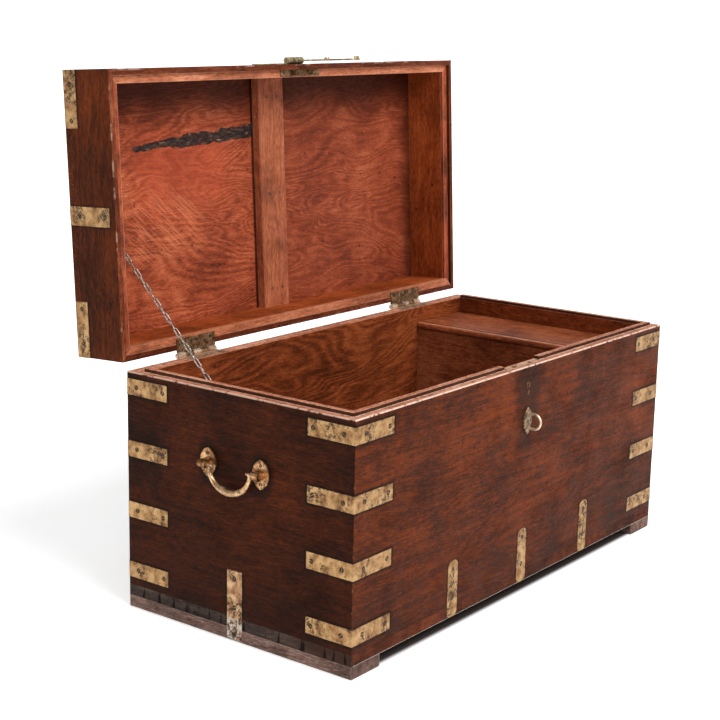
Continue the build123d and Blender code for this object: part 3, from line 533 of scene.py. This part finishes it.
def plain_wood(name, along, palette, lid=False, seed=1, wear=0.8, worn=srgb(182, 132, 106),
               stain_share=0.4, roughness=0.55):
    """Timber with one finish all over: lining strips, batten and skids."""
    s = Shader(name)
    point = closed_point(s, lid)
    colour, height = wood_layer(s, point, along, palette, seed)
    grime = s.noise(point, 26.0, 5.0, 0.65)
    stain = s.step(s.noise(s.place(point, move=(1, 5, 2)), 14.0, 4.0, 0.62), 0.48, 0.68)
    colour = s.mix(s.times(stain, stain_share), colour, PALETTES[palette][0])
    rubbed = s.times(s.edge(0.0030), s.step(grime, 0.30, 0.52))
    colour = s.mix(s.times(rubbed, wear), colour, worn)
    s.bump(height, 0.6)
    s.set(base_color=colour, roughness=s.step(grime, 0.3, 0.8, roughness - 0.1, roughness + 0.12),
          specular_ior_level=0.10)
    return s.material


def end_grain(s, y, z, grime):
    """The planks' sawn ends, split by drying, and how deep the splits are."""
    colour, height = wood_layer(s, s.point, 1, "end_grain", 15, 0.2, 0.4)
    # the corner that hands and feet reach keeps its brown finish
    kept = s.step(s.add(y, s.times(grime, 0.10)), -0.03, -0.13)
    colour = s.mix(s.times(kept, 0.7), colour, TINTS["kept finish"])
    crooked = s.warp(s.point, 55.0, 0.010)
    crack = s.cells(s.place(crooked, scale=(0, 1, 0)), 30.0, "DISTANCE_TO_EDGE")
    # a split is closed at the top of the plank and open at its foot
    foot_z = SKID_TOP_Z + 0.002
    split = s.step(crack, s.step(z, PLANK_TOP_Z + 0.001, foot_z, 0.012, 0.075),
                   s.step(z, PLANK_TOP_Z + 0.001, foot_z, 0.004, 0.03))
    present = s.step(s.noise(s.place(s.point, scale=(0, 1, 0)), 24.0), 0.42, 0.50)
    split = s.times(split, present)
    return s.mix(s.times(split, 0.95), colour, TINTS["split"]), height, split


def floor_timber():
    """The floor's planks: finished along the front, with grey sawn end grain."""
    s = Shader("floor_timber")
    x, y, z = s.split(s.point)
    face, face_height = wood_layer(s, s.point, 0, "front", 14, 0.3, 0.6)
    grime = s.noise(s.point, 30.0, 5.0, 0.65)
    ends, end_height, split = end_grain(s, y, z, grime)
    is_end = s.step(from_faces(s, x, y)[0], 0.006, 0.002)
    face = s.mix(s.step(grime, 0.40, 0.66, 0.20, 0.60), face, TINTS["plank dirt"])
    colour = s.mix(is_end, face, ends)
    # painted shade on the planks' bottom faces and lowest arris
    under = s.step(z, SKID_TOP_Z + 0.0015, SKID_TOP_Z + 0.0003)
    colour = s.mix(s.times(under, 0.8), colour, TINTS["underside shade"])
    edge = s.edge(0.0018)
    joint = s.times(edge, s.step(z, PLANK_TOP_Z - 0.009, PLANK_TOP_Z - 0.005))
    colour = s.mix(s.times(joint, 0.9), colour, TINTS["plank joint"])
    # a pale line along the planks' lower arris: partly worn edge, partly painted highlight
    rubbed = s.times(edge, s.step(z, SKID_TOP_Z + 0.004, SKID_TOP_Z + 0.0025), s.step(is_end, 0.6, 0.4))
    colour = s.mix(s.times(rubbed, 0.85), colour, TINTS["foot arris wear and highlight"])
    s.bump(s.add(s.mix(is_end, face_height, end_height), s.times(split, is_end, -4.0)), 0.8, 0.0006)
    s.set(base_color=colour, roughness=s.step(grime, 0.3, 0.8, 0.5, 0.75), specular_ior_level=0.06)
    return s.material


# ------------------------------------------------------------------ metal
def brass(name, light, middle, dark, pits=0.7, roughness=0.42, metallic=0.85, mottle=55.0, foot=False):
    """Old brass: cloudy tarnish, clusters of dark pits and dirt against its edges.

    With foot, it is pitted all over and rubbed to bare silver where it stands near the floor.
    """
    s = Shader(name)
    cloud = s.noise(s.warp(s.point, 40.0, 0.012), mottle, 5.0, 0.68)
    colour = s.ramp(cloud, [(0.28, dark), (0.44, middle), (0.60, light)])
    cluster = s.step(s.noise(s.place(s.point, move=(5, 1, 3)), 34.0, 2.0, 0.5), 0.46, 0.58)
    if foot:
        z = s.split(s.point)[2]
        cluster = s.largest(cluster, s.step(z, 0.085, 0.060))
        silver = s.times(s.step(z, 0.040, 0.030), s.step(cloud, 0.42, 0.50))
        colour = s.mix(s.times(silver, 0.8), colour, TINTS["bare silver"])
    pit_noise = s.noise(s.place(s.point, move=(2, 3, 4)), mottle * 3.2, 4.0, 0.72)
    pit = s.times(s.step(pit_noise, 0.50, 0.55), cluster)
    speck = s.step(s.noise(s.point, mottle * 14, 2.0, 0.6), 0.62, 0.70)
    colour = s.mix(s.times(pit, pits), colour, TINTS["pit"])
    colour = s.mix(s.times(speck, pits * 0.5), colour, TINTS["speck"])
    edge_dirt = s.times(s.edge(0.0014), s.step(cloud, 0.62, 0.40))
    colour = s.mix(s.times(edge_dirt, 0.75), colour, TINTS["brass edge dirt"])
    s.bump(s.add(s.times(pit, -0.8), s.times(cloud, 0.6), s.times(speck, -0.3)), 0.6, 0.0004)
    s.set(base_color=colour, roughness=s.step(cloud, 0.3, 0.7, roughness + 0.16, roughness),
          metallic=s.math("SUBTRACT", metallic, s.times(pit, 0.8), clamp=True), specular_ior_level=0.12)
    return s.material


def iron(name, light, dark, roughness=0.45, metallic=0.8):
    """Iron or steel with fine clouds of rust."""
    s = Shader(name)
    cloud = s.noise(s.point, 420.0, 4.0, 0.65)
    s.bump(cloud, 0.5, 0.0003)
    s.set(base_color=s.ramp(cloud, [(0.35, dark), (0.62, light)]), metallic=metallic,
          roughness=s.step(cloud, 0.3, 0.7, roughness + 0.2, roughness))
    return s.material


def wear_finish(material, *names):
    """Give the named pieces of the frame a material."""
    for name in names:
        slots = nodes[name].data.materials
        slots.clear()
        slots.append(material)


wear_finish(board("front_timber", 0, "front", "inner", seed=3, swirl=0.4), "front_board")
wear_finish(board("back_timber", 0, "case", "inner", seed=4, figure=0.9), "back_board")
wear_finish(board("left_timber", 1, "case", "inner", seed=5, swirl=0.4), "left_end_board")
wear_finish(board("right_timber", 1, "case", "inner", seed=6), "right_end_board")
wear_finish(board("lid_long_timber", 0, "lid", "wall", lid=True, seed=7),
            "lid_front_board", "lid_back_board")
wear_finish(board("lid_end_timber", 1, "lid", "wall", lid=True, seed=8), "lid_left_board",
            "lid_right_board")
wear_finish(board("lid_panel_timber", 0, "lid", "panel", lid=True, seed=10, figure=0.8, swirl=1.6),
            "lid_top_board")
wear_finish(plain_wood("lining_timber", 0, "lining", lid=True, seed=11), "lid_lining_front",
            "lid_lining_back")
wear_finish(plain_wood("end_lining_timber", 1, "panel", lid=True, seed=12, stain_share=0.7),
            "lid_lining_left", "lid_lining_right")
wear_finish(plain_wood("batten_timber", 1, "batten", lid=True, seed=13, wear=0.4), "lid_batten")
wear_finish(floor_timber(), "bottom_board_front", "bottom_board_middle", "bottom_board_back")
wear_finish(plain_wood("skid_timber", 1, "skid", seed=15, stain_share=0.5, roughness=0.75, wear=0.3,
                       worn=srgb(190, 164, 150)), "left_skid", "right_skid")
wear_finish(lip_wood("lip_timber", 0, seed=16), "rim_lip_front")
wear_finish(lip_wood("end_lip_timber", 1, seed=17), "rim_lip_left", "rim_lip_right")
wear_finish(till_wood(), "till_lid", "till_front_board", "till_bottom_board", "till_pivots")

strap_brass = brass("strap_brass", srgb(184, 148, 102), srgb(150, 112, 73), srgb(78, 51, 33), pits=0.85)
wear_finish(strap_brass, "corner_straps_front_left", "corner_straps_front_right",
            "corner_straps_back_left", "corner_straps_back_right", "front_base_straps",
            "back_base_straps", "lid_corner_straps", "lid_side_straps", "right_base_strap")
wear_finish(brass("foot_brass", srgb(196, 162, 122), srgb(158, 118, 84), srgb(80, 54, 38), pits=0.9,
                  foot=True), "left_base_strap")
fine_brass = brass("fine_brass", srgb(214, 178, 138), srgb(176, 136, 96), srgb(96, 64, 42),
                   pits=0.5, roughness=0.22, metallic=0.95, mottle=90.0)
wear_finish(fine_brass, "left_handle_bail", "right_handle_bail")
wear_finish(brass("plate_cast_brass", srgb(212, 168, 124), srgb(138, 94, 58), srgb(58, 36, 22), pits=0.7,
                  roughness=0.25, metallic=0.95, mottle=70.0), "left_handle_plates", "right_handle_plates")
wear_finish(brass("loop_brass", srgb(244, 228, 204), srgb(220, 194, 162), srgb(134, 106, 84), pits=0.3,
                  roughness=0.3, mottle=90.0), "staple_loop")
wear_finish(brass("hasp_brass", srgb(208, 190, 150), srgb(150, 130, 92), srgb(74, 56, 36), pits=0.6,
                  roughness=0.34, mottle=120.0), "hasp_strap", "hasp_leaf", "hasp_pin")
wear_finish(brass("staple_brass", srgb(172, 146, 116), srgb(92, 68, 50), srgb(38, 27, 20), pits=0.7,
                  roughness=0.35, mottle=160.0), "staple_plate")
dull_brass = brass("dull_brass", srgb(150, 116, 82), srgb(92, 66, 44), srgb(40, 27, 18), pits=0.7,
                   roughness=0.5, metallic=0.7, mottle=120.0)
wear_finish(dull_brass, "keyhole_escutcheon", "link_plate", "lid_hinge_leaves",
            "lock_case", "lock_bolt")
hinge_brass = brass("hinge_brass", srgb(224, 194, 168), srgb(182, 146, 116), srgb(98, 70, 50),
                    pits=0.6, roughness=0.4, mottle=80.0)
wear_finish(hinge_brass, "carcass_hinge_leaves", "hinge_pins")
wear_finish(brass("plate_brass", srgb(226, 180, 150), srgb(192, 142, 112), srgb(110, 76, 56), pits=0.5,
                  roughness=0.45, metallic=0.4, mottle=80.0), "lock_rim_plate")
screw_steel = iron("screw_steel", srgb(70, 56, 46), srgb(22, 17, 14))
wear_finish(screw_steel, "carcass_strap_screws", "carcass_hardware_screws", "lid_strap_screws",
            "lid_hardware_screws")
chain_steel = iron("chain_steel", srgb(190, 176, 164), srgb(58, 48, 42), roughness=0.3)
wear_finish(chain_steel, "carcass_chain_eye", "lid_chain_eye")


# ------------------------------------------------------------------ softened arrises
def soften(width, *names):
    """Round the edges of a board that years of use have blunted."""
    for name in names:
        obj = nodes[name]
        weld = obj.modifiers.new("weld", "WELD")
        weld.merge_threshold = 1e-5
        flats = obj.modifiers.new("flats", "DECIMATE")
        flats.decimate_type, flats.angle_limit = "DISSOLVE", math.radians(1)
        blunt = obj.modifiers.new("blunt", "BEVEL")
        blunt.width, blunt.segments = width, 2
        blunt.limit_method, blunt.angle_limit = "ANGLE", math.radians(50)


soften(0.0012, "front_board", "back_board", "left_end_board", "right_end_board", "lid_front_board",
       "lid_back_board", "lid_left_board", "lid_right_board", "lid_top_board", "lid_batten")
soften(0.0020, "bottom_board_front", "bottom_board_middle", "bottom_board_back")


# ------------------------------------------------------------------ dirt and painted countersink shadow round the screws
SCREW_HEAD, DIRT_AND_SHADOW_SPREAD = 0.0040, 1.6
ON_HEAD = 1e-4  # how far below its rim a point still counts as on the head
RING_POINTS, RING_INNER_LIFT, RING_OUTER_LIFT = 18, 0.00012, 0.00003


def loose_parts(mesh):
    """Lists of vertex indices, one for each separate solid of a mesh."""
    welded = {}
    parent = list(range(len(mesh.vertices)))

    def root(i):
        while parent[i] != i:
            parent[i] = parent[parent[i]]
            i = parent[i]
        return i

    for vertex in mesh.vertices:
        key = tuple(round(c, 6) for c in vertex.co)
        parent[root(vertex.index)] = root(welded.setdefault(key, vertex.index))
    for edge in mesh.edges:
        parent[root(edge.vertices[0])] = root(edge.vertices[1])
    parts = {}
    for i in range(len(parent)):
        parts.setdefault(root(i), []).append(i)
    return list(parts.values())


def screw_dirt_and_shadow(node, body, out, head, spread):
    """Ragged dark rings on the metal round each screw head that looks outward: part dirt, part painted
    shadow of the countersink.
    """
    mesh = nodes[node].data
    rng = random.Random(node)
    rings = bmesh.new()
    for part in loose_parts(mesh):
        points = [mesh.vertices[i].co for i in part]
        middle = sum(points, Vector()) / len(points)
        # the head is the widest end of a screw, so its rim lies furthest from the middle
        furthest = sorted(points, key=lambda p: -(p - middle).length)[:len(points) // 6]
        axis = out(middle)
        top = max(p.dot(axis) for p in furthest)
        rim = [p for p in points if top - p.dot(axis) < ON_HEAD]
        centre = sum(rim, Vector()) / len(rim)
        side = axis.orthogonal().normalized()
        other = axis.cross(side)
        reach = [head * rng.uniform(spread * 0.8, spread * 1.15) for _ in range(RING_POINTS)]
        inner, outer = [], []
        for k in range(RING_POINTS):
            turn = math.tau * k / RING_POINTS
            ray = side * math.cos(turn) + other * math.sin(turn)
            smooth = (reach[k - 1] + 2 * reach[k] + reach[(k + 1) % RING_POINTS]) / 4
            inner.append(rings.verts.new(centre + ray * head + axis * RING_INNER_LIFT))
            outer.append(rings.verts.new(centre + ray * smooth + axis * RING_OUTER_LIFT))
        for k in range(RING_POINTS):
            n = (k + 1) % RING_POINTS
            rings.faces.new((inner[k], outer[k], outer[n], inner[n]))
    # the ring objects stand for dirt and for painted countersink shadow
    data = bpy.data.meshes.new(node + "_dirt")
    rings.to_mesh(data)
    data.materials.append(dirt)
    obj = bpy.data.objects.new(node + "_dirt", data)
    bpy.context.scene.collection.objects.link(obj)
    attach(obj, body)


def outward(point):
    """The outside face that a point of the shut case is nearest to, as a direction."""
    if HALF_LENGTH - abs(point.x) < HALF_DEPTH - abs(point.y):
        return Vector((math.copysign(1, point.x), 0, 0))
    return Vector((0, math.copysign(1, point.y), 0))


def lid_outward(point):
    """The outside face of the open lid that a point is nearest to, as a direction."""
    pivot = Vector((0, HINGE_Y, HINGE_Z))
    shut = Matrix.Rotation(LID_OPEN, 3, "X") @ (point - pivot) + pivot
    off = {"x": HALF_LENGTH - abs(shut.x), "y": HALF_DEPTH - abs(shut.y), "z": LID_TOP_Z - shut.z}
    nearest = min(off, key=off.get)
    if nearest == "x":
        return Vector((math.copysign(1, point.x), 0, 0))
    face = Vector((0, 0, 1)) if nearest == "z" else Vector((0, math.copysign(1, shut.y), 0))
    return Matrix.Rotation(-LID_OPEN, 3, "X") @ face


# finish of the dark screw rings: part dirt, part painted countersink shadow
dirt = iron("screw_dirt_and_shadow", srgb(66, 42, 28), srgb(28, 18, 13), roughness=0.6, metallic=0.2)
screw_dirt_and_shadow("carcass_strap_screws", "carcass", outward, SCREW_HEAD, DIRT_AND_SHADOW_SPREAD)
screw_dirt_and_shadow("lid_strap_screws", "lid", lid_outward, SCREW_HEAD, DIRT_AND_SHADOW_SPREAD)

# ------------------------------------------------------------------ stay chain
LINKS, LINK_WIDTH, WIRE_RADIUS = 19, 0.0049, 0.0011
LINK_STEPS, WIRE_STEPS = 20, 8


def chain_link(mesh, centre, direction, side, length):
    """One oval link of round wire, welded into a loop."""
    normal = direction.cross(side).normalized()
    path = []
    straight = (length - LINK_WIDTH) / 2
    for i in range(LINK_STEPS):
        turn = math.tau * i / LINK_STEPS
        path.append((math.copysign(straight, math.cos(turn)) + math.cos(turn) * LINK_WIDTH / 2,
                     math.sin(turn) * LINK_WIDTH / 2))
    rings = []
    for i, (u, v) in enumerate(path):
        before, after = path[i - 1], path[(i + 1) % LINK_STEPS]
        tangent = Vector((after[0] - before[0], after[1] - before[1])).normalized()
        out = direction * tangent.y - side * tangent.x
        ring = []
        for j in range(WIRE_STEPS):
            a = math.tau * j / WIRE_STEPS
            offset = out * math.cos(a) + normal * math.sin(a)
            ring.append(mesh.verts.new(centre + direction * u + side * v + offset * WIRE_RADIUS))
        rings.append(ring)
    for i, ring in enumerate(rings):
        following = rings[(i + 1) % LINK_STEPS]
        for j in range(WIRE_STEPS):
            k = (j + 1) % WIRE_STEPS
            mesh.faces.new((ring[j], following[j], following[k], ring[k]))


low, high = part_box("stay_chain")
chain_x = (low.x + high.x) / 2
chain_start, chain_end = Vector((chain_x, low.y, low.z)), Vector((chain_x, high.y, high.z))
run = chain_end - chain_start
heading = run.normalized()
link_length = run.length / LINKS + 1.3 * WIRE_RADIUS
chain_mesh = bmesh.new()
rng = random.Random(7)
for index in range(LINKS):
    share = (index + 0.5) / LINKS
    roll = math.radians((35 if index % 2 else -55) + rng.uniform(-9, 9))
    across = Matrix.Rotation(roll, 3, heading) @ Vector((1, 0, 0))
    chain_link(chain_mesh, chain_start + run * share, heading, across, link_length)
chain_data = bpy.data.meshes.new("stay_chain_links")
bmesh.ops.recalc_face_normals(chain_mesh, faces=chain_mesh.faces)
chain_mesh.to_mesh(chain_data)
chain_data.polygons.foreach_set("use_smooth", [True] * len(chain_data.polygons))
chain_data.materials.append(chain_steel)
chain = bpy.data.objects.new("stay_chain_links", chain_data)
bpy.context.scene.collection.objects.link(chain)
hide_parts("stay_chain")
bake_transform(chain)


# ------------------------------------------------------------------ studio
def studio_floor():
    """A wide sheet of white paper, with a painted shadow under the chest and a painted glow round it."""
    side = 150
    data = bpy.data.meshes.new("studio_floor")
    data.from_pydata([(-side, -side, 0), (side, -side, 0), (side, side, 0), (-side, side, 0)], [],
                     [(0, 1, 2, 3)])
    floor = bpy.data.objects.new("studio_floor", data)
    bpy.context.scene.collection.objects.link(floor)
    s = Shader("studio_paper")
    tone = s.noise(s.point, 1.2, 2.0)
    x, y, _ = s.split(s.point)
    off = s.largest(s.minus(s.size(x), HALF_LENGTH), s.minus(s.size(y), HALF_DEPTH))
    paper = s.ramp(tone, [(0.3, (0.90, 0.90, 0.90, 1)), (0.7, (0.92, 0.92, 0.92, 1))])
    # painted shadow: the paper's colour is dark under the chest, and round the chest's footprint the paper
    # glows, a painted light that lifts the shadows there
    s.set(base_color=s.mix(s.step(off, 0.0, -0.012), paper, TINTS["shaded paper"]),
          roughness=0.9, emission_color=(1, 1, 1, 1),
          emission_strength=s.step(off, -0.010, 0.010, 0.0, 0.5))
    data.materials.append(s.material)


def lamp(name, kind, place, target, energy, **values):
    """A lamp that points at the target."""
    data = bpy.data.lights.new(name, kind)
    data.energy = energy
    for key, value in values.items():
        setattr(data, key, value)
    light = bpy.data.objects.new(name, data)
    light.location = place
    light.rotation_euler = (Vector(target) - Vector(place)).to_track_quat("-Z", "Y").to_euler()
    bpy.context.scene.collection.objects.link(light)


studio_floor()
lamp("key", "SUN", (0.25, -3.0, 4.0), (0, 0, 0.4), 2.7, angle=math.radians(40))
lamp("left_softbox", "AREA", (-2.6, -1.6, 2.0), (0, 0, 0.3), 22, shape="DISK", size=1.4)

world = bpy.data.worlds.new("studio")
bpy.context.scene.world = world
world.use_nodes = True
sky = world.node_tree
background = next(n for n in sky.nodes if n.type == "BACKGROUND")
direction = sky.nodes.new("ShaderNodeTexCoord").outputs["Generated"]
height = sky.nodes.new("ShaderNodeSeparateXYZ")
sky.links.new(direction, height.inputs[0])
fade = sky.nodes.new("ShaderNodeMapRange")
sky.links.new(height.outputs["Z"], fade.inputs["Value"])
for key, value in (("From Min", 0.06), ("From Max", 0.30), ("To Min", 1.05), ("To Max", 0.42)):
    fade.inputs[key].default_value = value
sky.links.new(fade.outputs[0], background.inputs["Strength"])
background.inputs["Color"].default_value = (1, 1, 1, 1)

view = bpy.context.scene.view_settings
view.view_transform, view.look = "Standard", "None"

# ------------------------------------------------------------------ camera
CAMERA_PLACE = Vector((-2.1297, -1.5053, 0.9486))
AZIMUTH, ELEVATION, ROLL = (math.radians(v) for v in (-52.678, 12.698, 1.141))
back = Vector((math.sin(AZIMUTH) * math.cos(ELEVATION), -math.cos(AZIMUTH) * math.cos(ELEVATION),
               math.sin(ELEVATION)))
right = Vector((math.cos(AZIMUTH), math.sin(AZIMUTH), 0))
up = back.cross(right)
rolled_right = right * math.cos(ROLL) + up * math.sin(ROLL)
rolled_up = up * math.cos(ROLL) - right * math.sin(ROLL)
camera_data = bpy.data.cameras.new("camera")
camera_data.lens = 78.56
camera_data.sensor_width = 36
camera = bpy.data.objects.new("camera", camera_data)
turn = Matrix((rolled_right, rolled_up, back)).transposed().to_4x4()
camera.matrix_world = Matrix.Translation(CAMERA_PLACE) @ turn
bpy.context.scene.collection.objects.link(camera)
bpy.context.scene.camera = camera
